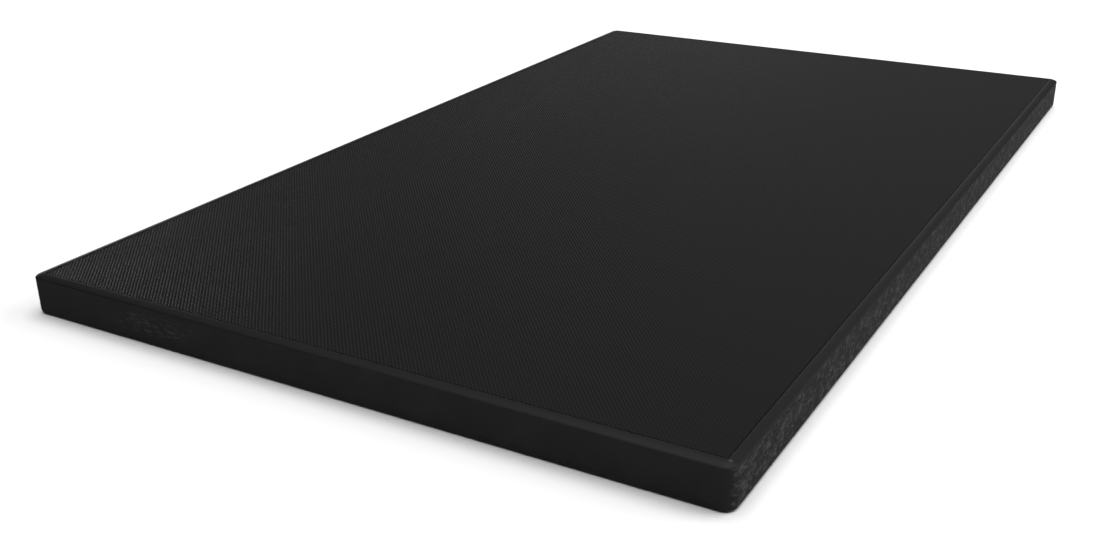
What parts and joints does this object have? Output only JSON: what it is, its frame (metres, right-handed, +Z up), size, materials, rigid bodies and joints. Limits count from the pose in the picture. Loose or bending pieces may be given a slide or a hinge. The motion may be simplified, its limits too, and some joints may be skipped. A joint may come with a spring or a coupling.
{
  "type": "self healing mat",
  "caption": "Thick black self-healing mat for leatherwork, with a cloth-patterned work face, a shallow bevelled rim and a flat underside.",
  "frame": {"origin": "centre of the underside, on the surface that the mat lies on", "axes": "+X along the mat's length, +Y across its width, +Z up, out of the work face"},
  "size_m": [0.5, 0.3, 0.0165],
  "materials": {
    "embossed_face": "satin, with a fine pressed cloth pattern",
    "cushion_compound": "matte, trimmed edge",
    "core_compound": "matte, trimmed edge",
    "base_compound": "matte, with a fine pressed cloth pattern"
  },
  "bodies": {
    "root": {"face_sheet": "embossed_face", "upper_cushion_ply": "cushion_compound", "firm_core": "core_compound", "lower_cushion_ply": "cushion_compound", "base_sheet": "base_compound"}
  },
  "joints": []
}
